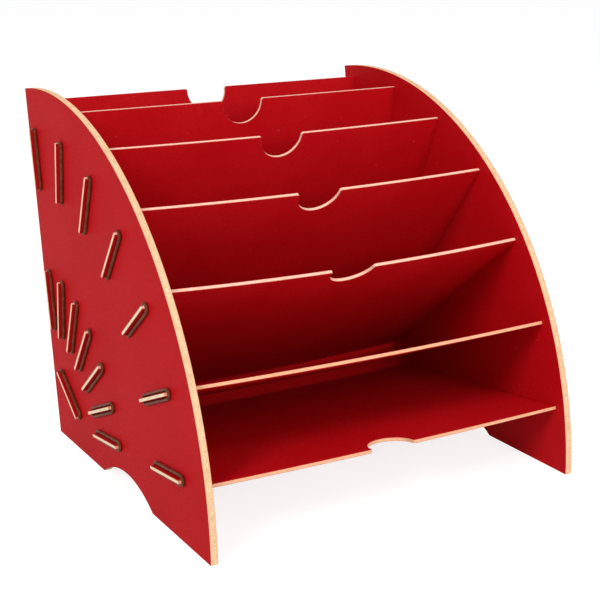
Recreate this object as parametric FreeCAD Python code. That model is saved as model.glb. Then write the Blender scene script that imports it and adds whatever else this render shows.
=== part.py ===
import FreeCAD, Part
import math
import os

# A fan-shaped desk sorter for magazines and papers, made of thin board that plugs together.
# Two curved side panels stand on the desk. Seven thin boards run between them like the ribs of a fan,
# and a small hub board closes the fan's narrow end. Each board's tenons pass through slots in the
# panels, and a rubber ring stretched round each tenon, outside the panel, keeps it from pulling out.
# Millimetres. X runs across the open front, +Y to the back, +Z up. The open front faces -Y.
# The origin is on the desk, under the middle of the sorter.

# Sheets, and the space between the panels
inner_width = 325.0
panel_thickness = 6.0
board_thickness = 3.0

# Side panel outline: distances behind the fan's apex, and heights above the desk
apex_height = 18.5
arc_radius = 315.5
arc_centre_behind_apex = 14.1
arc_centre_height = -1.8
rear_edge_behind_apex = 16.2
rear_edge_lean = 0.128

# Foot arch, a shallow round cut in the panel's bottom edge
foot_arch_front = -195.8
foot_arch_rear = -92.2
foot_arch_height = 15.7

# The fan of boards, counted from the rear board, 1, to the bottom board, 7
board_count = 7
bottom_board_angle = 6.95
fan_step = 15.17
front_inset = 11.0
board_length = 228.5
board_without_notch = 6

# How far each board stands off its even place in the fan, and how far its middle sags,
# both square to the board and towards the front
board_shifts = (0.8, -1.2, -0.4, 0.1, 0.6, 1.4, -1.5)
board_sags = (0.0, 1.5, 3.1, 3.6, 4.2, 2.0, 1.5)

# Tenons, two on each end of a board in the fan and one on each end of the hub board
tenon_length = 52.6
tenon_margin = 25.1
tenon_reach = 5.4
slot_clearance = 0.1
cutter_overrun = 1.0

# Hub board, square to one direction of the fan
hub_distance = 35.1
hub_angle = 54.9
hub_length = 82.0

# Rubber rings, how far their long sides stand off the tenon's faces, and the nicks that they lie in
ring_section = 2.8
ring_stand_off = 0.65
nick_width = 2.85
nick_depth = 2.0
corner_clearance = 0.025

# Finger notch in the middle of a board's front edge
notch_radius = 19.45
notch_inset = 1.95
notch_lip_radius = 1.8

half_width = inner_width / 2
half_board = board_thickness / 2
panel_outside = half_width + panel_thickness
sides = {"left": -1, "right": 1}


def front_corner():
    """How far behind the apex the curved edge meets the desk, a negative distance."""
    return arc_centre_behind_apex - math.sqrt(arc_radius ** 2 - arc_centre_height ** 2)


def rear_corner():
    """Where the curved edge meets the leaning rear edge, behind the apex and above the desk."""
    offset = rear_edge_behind_apex - arc_centre_behind_apex
    a = 1 + rear_edge_lean ** 2
    b = 2 * (offset * rear_edge_lean - arc_centre_height)
    c = offset ** 2 + arc_centre_height ** 2 - arc_radius ** 2
    height = (-b + math.sqrt(b ** 2 - 4 * a * c)) / (2 * a)
    return rear_edge_behind_apex + rear_edge_lean * height, height


# The apex stands this far behind the middle of the panels' depth
apex_y = -(front_corner() + rear_corner()[0]) / 2


def reach_to_arc(angle):
    """Distance from the apex to the curved edge, at an angle in degrees above the level front."""
    forward = -math.cos(math.radians(angle))
    upward = math.sin(math.radians(angle))
    apex_above_centre = apex_height - arc_centre_height
    along = apex_above_centre * upward - arc_centre_behind_apex * forward
    apart = arc_centre_behind_apex ** 2 + apex_above_centre ** 2
    return math.sqrt(along ** 2 + arc_radius ** 2 - apart) - along


def board_angle(board):
    return bottom_board_angle + fan_step * (board_count - board)


def board_front(board):
    """Distance from the apex to a board's front edge."""
    return reach_to_arc(board_angle(board)) - front_inset


def board_name(board):
    if board == 1:
        return "rear_board"
    if board == board_count:
        return "bottom_board"
    return f"divider_board_{board - 1}"


def line(start, end):
    return Part.LineSegment(FreeCAD.Vector(*start), FreeCAD.Vector(*end)).toShape()


def arc(start, middle, end):
    return Part.Arc(FreeCAD.Vector(*start), FreeCAD.Vector(*middle), FreeCAD.Vector(*end)).toShape()


def plate(edges, direction):
    """A solid made by pushing a closed outline along a direction."""
    return Part.Face(Part.Wire(edges)).extrude(FreeCAD.Vector(*direction))


def box(corner, opposite):
    low = [min(pair) for pair in zip(corner, opposite)]
    size = [abs(a - b) for a, b in zip(corner, opposite)]
    return Part.makeBox(*size, FreeCAD.Vector(*low))


def in_fan(shape, angle, shift):
    """Moves a shape made with y out from the apex and z to the front of its board into the fan."""
    turn = FreeCAD.Rotation(FreeCAD.Vector(1, 0, 0), 180 - angle)
    apex = FreeCAD.Vector(0, apex_y, apex_height)
    place = FreeCAD.Placement(apex + turn.multVec(FreeCAD.Vector(0, 0, shift)), turn)
    shape.Placement = place.multiply(shape.Placement)
    return shape


def fan_tenons():
    """Each pair of tenons: the board's angle and shift, and where the tenons start along it."""
    places = {}
    for board in range(1, board_count + 1):
        outer = board_front(board) - tenon_margin - tenon_length
        inner = board_front(board) - board_length + tenon_margin
        shift = board_shifts[board - 1]
        places[f"outer_{board}"] = (board_angle(board), shift, outer)
        places[f"inner_{board}"] = (board_angle(board), shift, inner)
    places["hub"] = (hub_angle + 90, hub_distance, -tenon_length / 2)
    return places


def tenon(start, side):
    """One tenon, nicked at both ends just outside the panel."""
    end = start + tenon_length
    nick_outside = panel_outside + nick_width
    tip = panel_outside + tenon_reach
    outline = [
        (half_width, start),
        (panel_outside, start),
        (panel_outside, start + nick_depth),
        (nick_outside, start + nick_depth),
        (nick_outside, start),
        (tip, start),
        (tip, end),
        (nick_outside, end),
        (nick_outside, end - nick_depth),
        (panel_outside, end - nick_depth),
        (panel_outside, end),
        (half_width, end),
    ]
    points = [(side * x, y, -half_board) for x, y in outline]
    edges = [line(a, b) for a, b in zip(points, points[1:] + points[:1])]
    return plate(edges, (0, 0, board_thickness))


def tenon_slot(start, side):
    """The cutter for a tenon's slot, which runs past both faces of the panel."""
    half_slot = half_board + slot_clearance
    end = start + tenon_length
    low = (side * (half_width - cutter_overrun), start - slot_clearance, -half_slot)
    high = (side * (panel_outside + cutter_overrun), end + slot_clearance, half_slot)
    return box(low, high)


def ring(start, side):
    """A rubber ring round one tenon, against the outside of the panel and the corners of the nicks."""
    x = side * (panel_outside + nick_width / 2)
    inside = half_board + ring_stand_off
    bend = inside + ring_section / 2
    seat = nick_depth + math.sqrt(inside ** 2 - half_board ** 2) - corner_clearance
    low = start + seat
    high = start + tenon_length - seat
    path = Part.Wire([
        line((x, low, bend), (x, high, bend)),
        arc((x, high, bend), (x, high + bend, 0), (x, high, -bend)),
        line((x, high, -bend), (x, low, -bend)),
        arc((x, low, -bend), (x, low - bend, 0), (x, low, bend)),
    ])
    section = Part.makeCircle(ring_section / 2, FreeCAD.Vector(x, low, bend), FreeCAD.Vector(0, 1, 0))
    return path.makePipeShell([Part.Wire([section])], True, False)


def notched_edge(front):
    """A board's front edge with its round finger notch, from the left end to the right."""
    centre = front - notch_inset
    lip_centre = front - notch_lip_radius
    reach = notch_radius + notch_lip_radius
    lip_x = math.sqrt(reach ** 2 - (lip_centre - centre) ** 2)
    touch_x = lip_x * notch_radius / reach
    touch_y = centre + (lip_centre - centre) * notch_radius / reach
    slant = notch_lip_radius * math.sqrt(0.5)
    left = arc((-lip_x, front, 0), (slant - lip_x, lip_centre + slant, 0), (-touch_x, touch_y, 0))
    right = arc((touch_x, touch_y, 0), (lip_x - slant, lip_centre + slant, 0), (lip_x, front, 0))
    return [
        line((-half_width, front, 0), (-lip_x, front, 0)),
        left,
        arc((-touch_x, touch_y, 0), (0, centre - notch_radius, 0), (touch_x, touch_y, 0)),
        right,
        line((lip_x, front, 0), (half_width, front, 0)),
    ]


def board_outline(near, far, notched):
    """The part of a board between the panels, seen square on."""
    front_edge = [line((-half_width, far, 0), (half_width, far, 0))]
    if notched:
        front_edge = notched_edge(far)
    return front_edge + [
        line((half_width, far, 0), (half_width, near, 0)),
        line((half_width, near, 0), (-half_width, near, 0)),
        line((-half_width, near, 0), (-half_width, far, 0)),
    ]


def sheet_edge(near, height, sag):
    """A sheet's face seen end on, from the left panel to the right."""
    if sag == 0:
        return line((-half_width, near, height), (half_width, near, height))
    return arc((-half_width, near, height), (0, near, height + sag), (half_width, near, height))


def sagging_sheet(near, far, sag):
    """A sheet held straight at its two ends, whose middle sags."""
    end_view = [
        sheet_edge(near, -half_board, sag),
        line((half_width, near, -half_board), (half_width, near, half_board)),
        sheet_edge(near, half_board, sag),
        line((-half_width, near, half_board), (-half_width, near, -half_board)),
    ]
    return plate(end_view, (0, far - near, 0))


def make_board(near, far, tenon_starts, sag, notched):
    """A board in its own plane, with the same tenons on both ends."""
    room = sag + board_thickness
    blank = plate(board_outline(near, far, notched), (0, 0, 2 * room))
    blank.translate(FreeCAD.Vector(0, 0, -room))
    body = sagging_sheet(near, far, sag).common(blank)
    tenons = [tenon(start, side) for start in tenon_starts for side in sides.values()]
    return body.fuse(tenons).removeSplitter()


def fan_board(board):
    """One of the boards in the fan, in its place."""
    places = fan_tenons()
    angle, shift, outer = places[f"outer_{board}"]
    inner = places[f"inner_{board}"][2]
    far = board_front(board)
    notched = board != board_without_notch
    shape = make_board(far - board_length, far, (inner, outer), board_sags[board - 1], notched)
    return in_fan(shape, angle, shift)


def hub_board():
    """The board across the fan's narrow end, in its place."""
    angle, shift, start = fan_tenons()["hub"]
    shape = make_board(-hub_length / 2, hub_length / 2, (start,), 0, False)
    return in_fan(shape, angle, shift)


def panel_outline(x):
    """A side panel's edge: curve, leaning rear edge, and bottom edge with its foot arch."""
    slant = arc_radius * math.sqrt(0.5)
    crown = (arc_centre_behind_apex - slant, arc_centre_height + slant)
    front = (front_corner(), 0)
    rear_top = rear_corner()
    rear_bottom = (rear_edge_behind_apex, 0)
    arch_rear = (foot_arch_rear, 0)
    arch_middle = ((foot_arch_front + foot_arch_rear) / 2, foot_arch_height)
    arch_front = (foot_arch_front, 0)
    corners = (front, crown, rear_top, rear_bottom, arch_rear, arch_middle, arch_front)
    front, crown, rear_top, rear_bottom, arch_rear, arch_middle, arch_front = (
        (x, y + apex_y, z) for y, z in corners
    )
    return [
        arc(front, crown, rear_top),
        line(rear_top, rear_bottom),
        line(rear_bottom, arch_rear),
        arc(arch_rear, arch_middle, arch_front),
        line(arch_front, front),
    ]


def side_panel(side):
    """One side panel with a slot for every tenon."""
    panel = plate(panel_outline(side * half_width), (side * panel_thickness, 0, 0))
    slots = [in_fan(tenon_slot(start, side), angle, shift) for angle, shift, start in fan_tenons().values()]
    return panel.cut(slots)


def make_parts():
    parts = {f"side_panel_{name}": side_panel(side) for name, side in sides.items()}
    for board in range(1, board_count + 1):
        parts[board_name(board)] = fan_board(board)
    parts["hub_board"] = hub_board()
    for name, side in sides.items():
        for place, (angle, shift, start) in fan_tenons().items():
            parts[f"rubber_ring_{name}_{place}"] = in_fan(ring(start, side), angle, shift)
    return parts


os.makedirs("parts", exist_ok=True)
for node, solid in make_parts().items():
    solid.exportStep(f"parts/{node}.step")
    print(node, solid.isValid(), len(solid.Solids), round(solid.Volume / 1000, 2), "cm3")
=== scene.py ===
import math

import bmesh
import bpy
from mathutils import Matrix, Vector


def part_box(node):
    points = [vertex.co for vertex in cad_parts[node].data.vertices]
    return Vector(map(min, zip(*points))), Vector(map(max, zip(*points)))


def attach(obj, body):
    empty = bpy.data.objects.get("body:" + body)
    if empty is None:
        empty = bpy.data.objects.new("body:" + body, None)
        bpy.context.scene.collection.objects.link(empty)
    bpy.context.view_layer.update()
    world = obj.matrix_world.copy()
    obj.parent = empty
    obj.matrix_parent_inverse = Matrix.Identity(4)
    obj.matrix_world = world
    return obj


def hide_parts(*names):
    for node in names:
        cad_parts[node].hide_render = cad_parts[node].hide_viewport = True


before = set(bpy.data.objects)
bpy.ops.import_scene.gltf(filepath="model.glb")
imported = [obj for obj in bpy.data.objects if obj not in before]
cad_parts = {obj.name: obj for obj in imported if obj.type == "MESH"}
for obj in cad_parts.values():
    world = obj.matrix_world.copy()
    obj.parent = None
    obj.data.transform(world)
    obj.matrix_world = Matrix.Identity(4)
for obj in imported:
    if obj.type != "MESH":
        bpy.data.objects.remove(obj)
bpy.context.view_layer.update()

# A fan-shaped desk sorter of thin red-faced fibreboard with raw edges. Metres, in the frame's axes:
# X across the open front, +Y to the back, +Z up.
mm = 0.001

# Sheets, and the space between the panels
inner_width = 325.0 * mm
panel_thickness = 6.0 * mm
board_thickness = 3.0 * mm
half_width = inner_width / 2
half_board = board_thickness / 2
panel_outside = half_width + panel_thickness
panel_middle = half_width + panel_thickness / 2

# The fan of boards, counted from the rear board, 1, to the bottom board, 7
apex_height = 18.5 * mm
arc_radius = 315.5 * mm
arc_centre_behind_apex = 14.1 * mm
arc_centre_height = -1.8 * mm
board_count = 7
bottom_board_angle = 6.95
fan_step = 15.17
front_inset = 11.0 * mm
board_length = 228.5 * mm
board_without_notch = 6
# The lowest boards' raw edges are painted darker and browner: painted shade
shaded_edge_boards = 2
board_shifts = (0.8 * mm, -1.2 * mm, -0.4 * mm, 0.1 * mm, 0.6 * mm, 1.4 * mm, -1.5 * mm)
board_sags = (0.0, 1.5 * mm, 3.1 * mm, 3.6 * mm, 4.2 * mm, 2.0 * mm, 1.5 * mm)

# Tenons, hub board, nicks and finger notches
tenon_length = 52.6 * mm
tenon_margin = 25.1 * mm
tenon_reach = 5.4 * mm
hub_distance = 35.1 * mm
hub_angle = 54.9
hub_length = 82.0 * mm
nick_width = 2.85 * mm
nick_depth = 2.0 * mm
notch_radius = 19.45 * mm
notch_inset = 1.95 * mm
notch_lip_radius = 1.8 * mm

# Softened arrises, and how finely a notch, its lips and a sagging board are divided
arris_width = 0.22 * mm
notch_steps = 20
lip_steps = 4
sag_divisions = 20

# Material slots of a finished sheet
face_slot = 0
edge_slot = 1
rim_slot = 2
# The tenons' ends take a paler edge: painted light
lit_tip_slot = 3

# A face looks along an axis when more than this share of its normal lies on it
facing = 0.9

# Angles in degrees up to which faces shade smoothly or are joined up, and the distances up to which
# two points of a panel are one, and a point of a board lies on a cut
smooth_angle = 25
flat_angle = 0.3
same_point = 0.001 * mm
on_the_cut = 0.0001 * mm

# The photograph's camera
camera_place = (-0.5523, -1.0021, 0.4542)
camera_turn = 29.225
camera_down = 15.642
camera_roll = -0.658
camera_lens = 82.02
sensor_width = 36.0

# Studio: round lamps at one distance, the light of the surroundings, and the floor, which to the eye
# is mostly its own white, so that only a faint shadow shows on it
lamp_target = (0.0, -0.02, 0.14)
lamp_distance = 2.6
lamp_size = 0.9
surroundings_light = 0.4
floor_half_size = 20.0
floor_colour = (0.8, 0.8, 0.8, 1.0)
seen_floor_colour = (0.4, 0.4, 0.4, 1.0)
seen_floor_glow = 0.82


def linear(red, green, blue):
    """A screen colour, 0 to 255, as the linear colour that a shader socket takes."""
    def channel(value):
        value /= 255
        return value / 12.92 if value <= 0.04045 else ((value + 0.055) / 1.055) ** 2.4
    return (channel(red), channel(green), channel(blue), 1.0)


def make_camera():
    camera = bpy.data.objects.new("camera", bpy.data.cameras.new("camera"))
    camera.data.lens = camera_lens
    camera.data.sensor_width = sensor_width
    place = Matrix.Translation(camera_place)
    turn = Matrix.Rotation(math.radians(-camera_turn), 4, "Z")
    tilt = Matrix.Rotation(math.radians(90 - camera_down), 4, "X")
    roll = Matrix.Rotation(math.radians(camera_roll), 4, "Z")
    camera.matrix_world = place @ turn @ tilt @ roll
    bpy.context.scene.collection.objects.link(camera)
    bpy.context.scene.camera = camera


def soft_lamp(name, turn, up, power):
    """A round soft lamp that looks at the sorter, turned from the front and raised, both in degrees."""
    turn = math.radians(turn)
    up = math.radians(up)
    towards = Vector((math.sin(turn) * math.cos(up), -math.cos(turn) * math.cos(up), math.sin(up)))
    lamp = bpy.data.lights.new(name, "AREA")
    lamp.shape = "DISK"
    lamp.size = lamp_size
    lamp.energy = power
    light = bpy.data.objects.new(name, lamp)
    light.visible_camera = False
    place = Vector(lamp_target) + lamp_distance * towards
    aim = towards.to_track_quat("Z", "Y").to_matrix().to_4x4()
    light.matrix_world = Matrix.Translation(place) @ aim
    bpy.context.scene.collection.objects.link(light)


def make_lights():
    soft_lamp("left_lamp", turn=-60, up=35, power=23.5)
    soft_lamp("front_lamp", turn=6, up=12, power=4.0)
    soft_lamp("high_front_lamp", turn=6, up=22, power=17.0)
    soft_lamp("top_lamp", turn=0, up=48, power=4.5)
    soft_lamp("back_lamp", turn=160, up=50, power=12.0)


def background_rays(tree):
    """1 for the rays that see the background as white: the eye's own, off gloss and through glass."""
    path = tree.nodes.new("ShaderNodeLightPath")
    seen = add_math(tree, "MAXIMUM", path.outputs["Is Camera Ray"], path.outputs["Is Glossy Ray"])
    return add_math(tree, "MAXIMUM", seen, path.outputs["Is Transmission Ray"])


def make_world():
    """Plain surroundings: white to the eye, and dimmer as a light."""
    world = bpy.data.worlds.new("surroundings")
    world.use_nodes = True
    tree = world.node_tree
    tree.nodes.clear()
    seen = tree.nodes.new("ShaderNodeBackground")
    seen.inputs["Strength"].default_value = 1.0
    lighting = tree.nodes.new("ShaderNodeBackground")
    lighting.inputs["Strength"].default_value = surroundings_light
    mix = tree.nodes.new("ShaderNodeMixShader")
    output = tree.nodes.new("ShaderNodeOutputWorld")
    for background in (seen, lighting):
        background.inputs["Color"].default_value = (1.0, 1.0, 1.0, 1.0)
    tree.links.new(background_rays(tree), mix.inputs["Fac"])
    tree.links.new(lighting.outputs["Background"], mix.inputs[1])
    tree.links.new(seen.outputs["Background"], mix.inputs[2])
    tree.links.new(mix.outputs["Shader"], output.inputs["Surface"])
    bpy.context.scene.world = world


def make_floor():
    """A wide pale floor that is white to the eye and keeps the sorter's soft shadow."""
    material = bpy.data.materials.new("pale_floor")
    material.use_nodes = True
    tree = material.node_tree
    tree.nodes.clear()
    matt = tree.nodes.new("ShaderNodeBsdfDiffuse")
    matt.inputs["Color"].default_value = floor_colour
    shadowed = tree.nodes.new("ShaderNodeBsdfDiffuse")
    shadowed.inputs["Color"].default_value = seen_floor_colour
    glow = tree.nodes.new("ShaderNodeEmission")
    glow.inputs["Strength"].default_value = seen_floor_glow
    seen = tree.nodes.new("ShaderNodeAddShader")
    mix = tree.nodes.new("ShaderNodeMixShader")
    output = tree.nodes.new("ShaderNodeOutputMaterial")
    tree.links.new(shadowed.outputs["BSDF"], seen.inputs[0])
    tree.links.new(glow.outputs["Emission"], seen.inputs[1])
    tree.links.new(background_rays(tree), mix.inputs["Fac"])
    tree.links.new(matt.outputs["BSDF"], mix.inputs[1])
    tree.links.new(seen.outputs["Shader"], mix.inputs[2])
    tree.links.new(mix.outputs["Shader"], output.inputs["Surface"])
    bm = bmesh.new()
    bmesh.ops.create_grid(bm, x_segments=1, y_segments=1, size=floor_half_size)
    floor = finish_mesh(bm, "floor", [material])


def finish_mesh(bm, name, materials):
    """Turns a bmesh into a linked object at the origin."""
    mesh = bpy.data.meshes.new(name)
    bm.to_mesh(mesh)
    bm.free()
    for material in materials:
        mesh.materials.append(material)
    piece = bpy.data.objects.new(name, mesh)
    bpy.context.scene.collection.objects.link(piece)
    return piece


def new_material(name):
    """A material with its shader, ready for nodes."""
    material = bpy.data.materials.new(name)
    material.use_nodes = True
    return material, material.node_tree, material.node_tree.nodes["Principled BSDF"]


def plain_node_group(name, inputs, outputs):
    """An empty shader node group with named sockets."""
    group = bpy.data.node_groups.new(name, "ShaderNodeTree")
    for socket, kind, value in inputs:
        made = group.interface.new_socket(socket, in_out="INPUT", socket_type=kind)
        made.default_value = value
    for socket, kind in outputs:
        group.interface.new_socket(socket, in_out="OUTPUT", socket_type=kind)
    entry = group.nodes.new("NodeGroupInput")
    end = group.nodes.new("NodeGroupOutput")
    return group, entry, end


def join(tree, value, socket):
    """Links a socket to another, or writes a plain value there."""
    if isinstance(value, bpy.types.NodeSocket):
        tree.links.new(value, socket)
    else:
        socket.default_value = value


def add_range(tree, value, low, high, to_low=0.0, to_high=1.0):
    """Maps a value between two limits to another range, smoothly and clamped."""
    node = tree.nodes.new("ShaderNodeMapRange")
    node.interpolation_type = "SMOOTHSTEP"
    limits = {"Value": value, "From Min": low, "From Max": high, "To Min": to_low, "To Max": to_high}
    for name, limit in limits.items():
        join(tree, limit, node.inputs[name])
    return node.outputs["Result"]


def add_mix(tree, mask, first, second):
    """Mixes two colours by a mask."""
    mix = tree.nodes.new("ShaderNodeMix")
    mix.data_type = "RGBA"
    join(tree, mask, mix.inputs["Factor"])
    join(tree, first, mix.inputs["A"])
    join(tree, second, mix.inputs["B"])
    return mix.outputs["Result"]


def add_math(tree, operation, first, second=0.0):
    node = tree.nodes.new("ShaderNodeMath")
    node.operation = operation
    join(tree, first, node.inputs[0])
    join(tree, second, node.inputs[1])
    return node.outputs[0]


def add_bump(tree, height, strength, distance):
    bump = tree.nodes.new("ShaderNodeBump")
    bump.inputs["Strength"].default_value = strength
    bump.inputs["Distance"].default_value = distance
    join(tree, height, bump.inputs["Height"])
    return bump.outputs["Normal"]


def object_coordinates(tree):
    return tree.nodes.new("ShaderNodeTexCoord").outputs["Object"]


def grain_group():
    """A grain of any size: where it lies, as a mask, and how high it stands."""
    group, entry, end = plain_node_group(
        "grain",
        [
            ("Place", "NodeSocketVector", (0.0, 0.0, 0.0)),
            ("Scale", "NodeSocketFloat", 100.0),
            ("Detail", "NodeSocketFloat", 2.0),
            ("Low", "NodeSocketFloat", 0.4),
            ("High", "NodeSocketFloat", 0.6),
        ],
        [("Mask", "NodeSocketFloat"), ("Height", "NodeSocketFloat")],
    )
    noise = group.nodes.new("ShaderNodeTexNoise")
    join(group, entry.outputs["Place"], noise.inputs["Vector"])
    join(group, entry.outputs["Scale"], noise.inputs["Scale"])
    join(group, entry.outputs["Detail"], noise.inputs["Detail"])
    mask = add_range(group, noise.outputs["Fac"], entry.outputs["Low"], entry.outputs["High"])
    join(group, mask, end.inputs["Mask"])
    join(group, noise.outputs["Fac"], end.inputs["Height"])
    return group


def add_grain(tree, place, scale, detail=2.0, low=0.4, high=0.6):
    """Places the grain in a material. Scale is in grains to the metre. Gives its mask and height."""
    node = tree.nodes.new("ShaderNodeGroup")
    node.node_tree = grain
    values = {"Place": place, "Scale": scale, "Detail": detail, "Low": low, "High": high}
    for name, value in values.items():
        join(tree, value, node.inputs[name])
    return node.outputs["Mask"], node.outputs["Height"]


def red_coating():
    """The smooth red film on the boards' faces: faintly mottled, with a few pale specks of dust."""
    material, tree, shader = new_material("red_coating")
    place = object_coordinates(tree)
    cloud, _ = add_grain(tree, place, scale=14.0, detail=3.0, low=0.35, high=0.65)
    mottle, ripple = add_grain(tree, place, scale=480.0, low=0.5, high=0.8)
    dust, _ = add_grain(tree, place, scale=330.0, detail=1.0, low=0.76, high=0.82)
    colour = add_mix(tree, cloud, linear(197, 13, 22), linear(202, 19, 27))
    colour = add_mix(tree, mottle, colour, linear(186, 10, 18))
    colour = add_mix(tree, dust, colour, linear(212, 70, 66))
    roughness = add_range(tree, ripple, low=0.3, high=0.7, to_low=0.5, to_high=0.58)
    join(tree, colour, shader.inputs["Base Color"])
    join(tree, roughness, shader.inputs["Roughness"])
    join(tree, add_bump(tree, ripple, strength=0.15, distance=0.1 * mm), shader.inputs["Normal"])
    shader.inputs["Specular IOR Level"].default_value = 0.045
    return material


def coating_rim(name, cut, chip):
    """The cut rim of the coating, a little chipped by the saw."""
    material, tree, shader = new_material(name)
    chips, _ = add_grain(tree, object_coordinates(tree), scale=900.0, low=0.5, high=0.7)
    join(tree, add_mix(tree, chips, cut, chip), shader.inputs["Base Color"])
    shader.inputs["Roughness"].default_value = 0.6
    shader.inputs["Specular IOR Level"].default_value = 0.2
    return material


def raw_edge(name, core, fleck, border):
    """A sawn fibreboard edge: pale core, darker flecks, and a pinker border under each coating."""
    material, tree, shader = new_material(name)
    place = object_coordinates(tree)
    across = tree.nodes.new("ShaderNodeAttribute")
    across.attribute_name = "across"
    distance = add_math(tree, "ABSOLUTE", across.outputs["Fac"])
    near_coating = add_range(tree, distance, low=0.4, high=0.9)
    flecks, _ = add_grain(tree, place, scale=800.0, detail=3.0, low=0.47, high=0.62)
    patches, _ = add_grain(tree, place, scale=160.0, low=0.4, high=0.75)
    _, fibres = add_grain(tree, place, scale=1500.0, detail=3.0)
    colour = add_mix(tree, add_math(tree, "MAXIMUM", flecks, patches), core, fleck)
    colour = add_mix(tree, near_coating, colour, border)
    join(tree, colour, shader.inputs["Base Color"])
    join(tree, add_bump(tree, fibres, strength=0.4, distance=0.1 * mm), shader.inputs["Normal"])
    shader.inputs["Roughness"].default_value = 0.85
    shader.inputs["Specular IOR Level"].default_value = 0.2
    return material


def brown_rubber():
    """Satin brown rubber, a little bloomed and dusty."""
    material, tree, shader = new_material("brown_rubber")
    place = object_coordinates(tree)
    bloom, _ = add_grain(tree, place, scale=220.0, detail=3.0, low=0.4, high=0.7)
    _, skin = add_grain(tree, place, scale=1400.0)
    colour = add_mix(tree, bloom, linear(106, 52, 31), linear(130, 75, 46))
    roughness = add_range(tree, skin, low=0.3, high=0.7, to_low=0.36, to_high=0.5)
    join(tree, colour, shader.inputs["Base Color"])
    join(tree, roughness, shader.inputs["Roughness"])
    join(tree, add_bump(tree, skin, strength=0.2, distance=0.08 * mm), shader.inputs["Normal"])
    shader.inputs["Specular IOR Level"].default_value = 0.1
    return material


def reach_to_arc(angle):
    """Distance from the fan's apex to the panel's curved edge, at an angle above the level front."""
    forward = -math.cos(math.radians(angle))
    upward = math.sin(math.radians(angle))
    apex_above_centre = apex_height - arc_centre_height
    along = apex_above_centre * upward - arc_centre_behind_apex * forward
    apart_squared = arc_centre_behind_apex ** 2 + apex_above_centre ** 2
    return math.sqrt(along ** 2 + arc_radius ** 2 - apart_squared) - along


def board_angle(board):
    """How far a board rises from the level front, in degrees."""
    return bottom_board_angle + fan_step * (board_count - board)


def board_front(board):
    """How far a board's front edge is from the apex."""
    return reach_to_arc(board_angle(board)) - front_inset


def board_name(board):
    if board == 1:
        return "rear_board"
    if board == board_count:
        return "bottom_board"
    return f"divider_board_{board - 1}"


def round_points(centre, radius, start, end, steps):
    """Points on an arc between two angles in degrees, both ends included."""
    angles = [math.radians(start + (end - start) * step / steps) for step in range(steps + 1)]
    return [(centre[0] + radius * math.cos(a), centre[1] + radius * math.sin(a)) for a in angles]


def half_notch(front):
    """The right half of a finger notch, from its deepest point to its lip on the front edge."""
    centre = (0.0, front - notch_inset)
    reach = notch_radius + notch_lip_radius
    lip_y = front - notch_lip_radius
    lip_x = math.sqrt(reach ** 2 - (lip_y - centre[1]) ** 2)
    touch = math.degrees(math.atan2(lip_y - centre[1], lip_x))
    bowl = round_points(centre, notch_radius, -90.0, touch, notch_steps)
    lip = round_points((lip_x, lip_y), notch_lip_radius, 180.0 + touch, 90.0, lip_steps)
    return bowl + lip[1:]


def half_tenon(start):
    """A tenon's outline on the right end of a board, from its outer end to its inner end."""
    end = start + tenon_length
    nick_outside = panel_outside + nick_width
    tip = panel_outside + tenon_reach
    return [
        (half_width, end),
        (panel_outside, end),
        (panel_outside, end - nick_depth),
        (nick_outside, end - nick_depth),
        (nick_outside, end),
        (tip, end),
        (tip, start),
        (nick_outside, start),
        (nick_outside, start + nick_depth),
        (panel_outside, start + nick_depth),
        (panel_outside, start),
        (half_width, start),
    ]


def half_board_outline(near, far, tenon_starts, notched):
    """The right half of a board's outline, from mid-width in front to mid-width behind."""
    points = half_notch(far) if notched else [(0.0, far)]
    points.append((half_width, far))
    for start in sorted(tenon_starts, reverse=True):
        points += half_tenon(start)
    return points + [(half_width, near), (0.0, near)]


def flat_board(near, far, tenon_starts, notched):
    """A flat board made from half its outline, mirrored, as a bmesh. x across, y out from the apex."""
    right = half_board_outline(near, far, tenon_starts, notched)
    left = [(-x, y) for x, y in reversed(right[1:-1])]
    bm = bmesh.new()
    outline = [bm.verts.new((x, y, -half_board)) for x, y in right + left]
    face = bm.faces.new(outline)
    pushed = bmesh.ops.extrude_face_region(bm, geom=[face])
    moved = [part for part in pushed["geom"] if isinstance(part, bmesh.types.BMVert)]
    bmesh.ops.translate(bm, verts=moved, vec=(0.0, 0.0, board_thickness))
    bmesh.ops.recalc_face_normals(bm, faces=bm.faces[:])
    return bm


def divide_across(bm):
    """Cuts a board into strips that can follow its sag."""
    for step in range(sag_divisions + 1):
        x = half_width * (2 * step / sag_divisions - 1)
        everything = bm.verts[:] + bm.edges[:] + bm.faces[:]
        bmesh.ops.bisect_plane(
            bm, geom=everything, dist=on_the_cut, plane_co=(x, 0, 0), plane_no=(1, 0, 0),
        )


def dress_sheet(bm, normal_axis, middle, half):
    """Tells a sheet's coated faces from its sawn edges, and softens the arrises between them."""
    for face in bm.faces:
        face.material_index = face_slot if abs(face.normal[normal_axis]) > facing else edge_slot
    arrises = [
        edge for edge in bm.edges
        if len({face.material_index for face in edge.link_faces}) == 2
    ]
    rims = bmesh.ops.bevel(
        bm, geom=arrises, offset=arris_width, offset_type="OFFSET", segments=1, profile=0.5,
        affect="EDGES", material=-1, clamp_overlap=True,
    )
    for face in rims["faces"]:
        face.material_index = rim_slot
    note_place_across(bm, normal_axis, middle, half)


def note_place_across(bm, normal_axis, middle, half):
    """Notes how far across the sheet each point lies: 0 midway, and 1 or -1 on the faces."""
    across = bm.verts.layers.float.new("across")
    for vertex in bm.verts:
        place = vertex.co[normal_axis]
        vertex[across] = (place - math.copysign(middle, place)) / half


def paint_light_on_tenon_tips(bm):
    """Gives the tenons' ends, sawn across the board, a paler edge of their own: painted light."""
    bm.normal_update()
    for face in bm.faces:
        outside = abs(face.calc_center_median().x) > panel_outside
        if face.material_index == edge_slot and outside and abs(face.normal.x) > facing:
            face.material_index = lit_tip_slot


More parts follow.
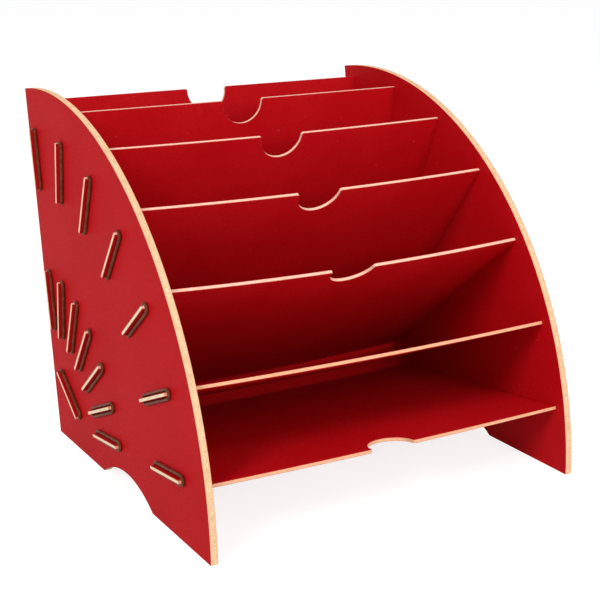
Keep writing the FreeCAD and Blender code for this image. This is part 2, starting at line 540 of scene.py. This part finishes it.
def sag_board(bm, sag):
    """Lets a flat board hang between the panels, by its full sag at mid-width."""
    for vertex in bm.verts:
        share = min(1.0, abs(vertex.co.x) / half_width)
        vertex.co.z += sag * (1 - share ** 2)


def place_in_fan(bm, angle, shift):
    """Turns a flat board about the apex, and shifts it square to its own faces."""
    apex = Vector((0.0, apex_y, apex_height))
    turn = Matrix.Rotation(math.radians(180 - angle), 4, "X")
    bm.transform(Matrix.Translation(apex) @ turn @ Matrix.Translation((0.0, 0.0, shift)))


def soften_shading(piece):
    for polygon in piece.data.polygons:
        polygon.use_smooth = True
    piece.data.set_sharp_from_angle(angle=math.radians(smooth_angle))


def stand_for(piece, node):
    """The finished piece takes a CAD node's place."""
    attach(piece, "root")
    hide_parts(node)


def make_board(node, near, far, tenon_starts, notched, sag, angle, shift, materials):
    """Makes a board flat, gives it its finish and its sag, and turns it to its place."""
    bm = flat_board(near, far, tenon_starts, notched)
    if sag:
        divide_across(bm)
    bm.normal_update()
    dress_sheet(bm, normal_axis=2, middle=0.0, half=half_board)
    paint_light_on_tenon_tips(bm)
    sag_board(bm, sag)
    place_in_fan(bm, angle, shift)
    piece = finish_mesh(bm, f"{node}_sheet", materials)
    soften_shading(piece)
    stand_for(piece, node)


def make_fan_boards(pale_materials, shaded_materials):
    """The boards of the fan. The lowest have raw edges painted darker and browner: painted shade."""
    for board in range(1, board_count + 1):
        front = board_front(board)
        back = front - board_length
        make_board(
            board_name(board),
            near=back,
            far=front,
            tenon_starts=(back + tenon_margin, front - tenon_margin - tenon_length),
            notched=board != board_without_notch,
            sag=board_sags[board - 1],
            angle=board_angle(board),
            shift=board_shifts[board - 1],
            materials=shaded_materials if board > board_count - shaded_edge_boards else pale_materials,
        )


def make_hub_board(materials):
    """The small board that closes the fan's narrow end, square to the line from apex to board."""
    make_board(
        "hub_board",
        near=-hub_length / 2,
        far=hub_length / 2,
        tenon_starts=(-tenon_length / 2,),
        notched=False,
        sag=0.0,
        angle=hub_angle + 90,
        shift=hub_distance,
        materials=materials,
    )


def make_side_panel(node, materials):
    """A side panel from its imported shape, merged, with its flat faces joined up."""
    bm = bmesh.new()
    bm.from_mesh(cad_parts[node].data)
    bmesh.ops.remove_doubles(bm, verts=bm.verts[:], dist=same_point)
    bmesh.ops.dissolve_limit(
        bm, angle_limit=math.radians(flat_angle), use_dissolve_boundaries=False,
        verts=bm.verts[:], edges=bm.edges[:],
    )
    bm.normal_update()
    dress_sheet(bm, normal_axis=0, middle=panel_middle, half=panel_thickness / 2)
    piece = finish_mesh(bm, f"{node}_sheet", materials)
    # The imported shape's own normals don't fit its softened arrises
    piece.data.attributes.remove(piece.data.attributes["custom_normal"])
    soften_shading(piece)
    stand_for(piece, node)


def finish_rings(material):
    """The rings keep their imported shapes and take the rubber's finish."""
    for node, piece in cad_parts.items():
        if node.startswith("rubber_ring"):
            piece.data.materials.clear()
            piece.data.materials.append(material)


# Where the panels' curve meets the desk, seen from the apex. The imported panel's front then gives the
# place of the apex in the frame.
front_corner = arc_centre_behind_apex - math.sqrt(arc_radius ** 2 - arc_centre_height ** 2)
panel_low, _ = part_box("side_panel_left")
apex_y = panel_low.y - front_corner

make_camera()
make_world()
make_lights()
make_floor()
grain = grain_group()
coating = red_coating()
# Painted shade: the panels' rim, dark maroon along the arrises, with lighter saw chips
shaded_panel_rim = coating_rim("shaded_panel_rim", linear(104, 10, 20), linear(150, 60, 50))
board_rim = coating_rim("board_rim", linear(190, 40, 36), linear(226, 120, 100))
panel_edge = raw_edge(
    "panel_edge",
    core=linear(254, 214, 172),
    fleck=linear(230, 190, 140),
    border=linear(255, 188, 148),
)
board_edge = raw_edge(
    "board_edge",
    core=linear(255, 220, 196),
    fleck=linear(255, 204, 176),
    border=linear(255, 132, 118),
)
# Painted shade: the lowest boards' raw edges, darker and browner than the other boards' edges
shaded_board_edge = raw_edge(
    "shaded_board_edge",
    core=linear(252, 194, 154),
    fleck=linear(240, 180, 138),
    border=linear(250, 156, 124),
)
# Painted light: the tenons' ends, paler and brighter than the other raw edges
lit_tenon_tip = raw_edge(
    "lit_tenon_tip",
    core=linear(255, 250, 216),
    fleck=linear(255, 236, 196),
    border=linear(255, 176, 152),
)
for panel in ("side_panel_left", "side_panel_right"):
    make_side_panel(panel, [coating, panel_edge, shaded_panel_rim])
pale_board = [coating, board_edge, board_rim, lit_tenon_tip]
shaded_edge_finishes = [coating, shaded_board_edge, board_rim, lit_tenon_tip]
make_fan_boards(pale_board, shaded_edge_finishes)
make_hub_board(pale_board)
finish_rings(brown_rubber())

scene = bpy.context.scene
scene.view_settings.view_transform = "Standard"
